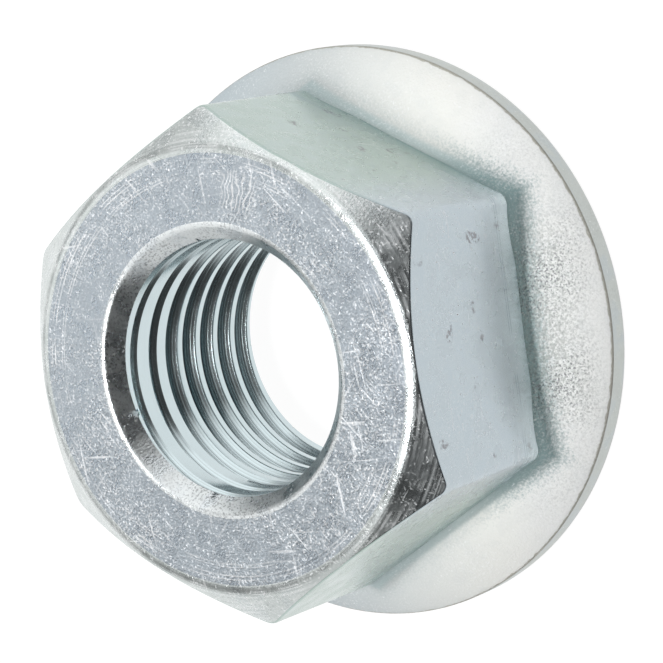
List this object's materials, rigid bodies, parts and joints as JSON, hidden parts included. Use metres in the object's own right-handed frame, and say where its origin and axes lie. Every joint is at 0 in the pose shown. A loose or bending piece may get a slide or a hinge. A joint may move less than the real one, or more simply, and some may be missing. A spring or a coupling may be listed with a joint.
{
  "type": "hexagon flange nut",
  "caption": "Hexagon nut with a wide crowned flange under it, a chamfered rim and a countersunk threaded bore, in bright zinc-plated steel.",
  "frame": {"origin": "centre of the thread axis in the bearing face, on the flange's underside", "axes": "+Z along the thread axis from the bearing face to the free face; two flats of the hexagon face along +X and -X"},
  "size_m": [0.0292, 0.0292, 0.0135],
  "materials": {
    "zinc_steel": "bright zinc plating over forged steel, satin, with fine handling scratches"
  },
  "bodies": {
    "root": {"flange_nut": "zinc_steel"}
  },
  "joints": []
}
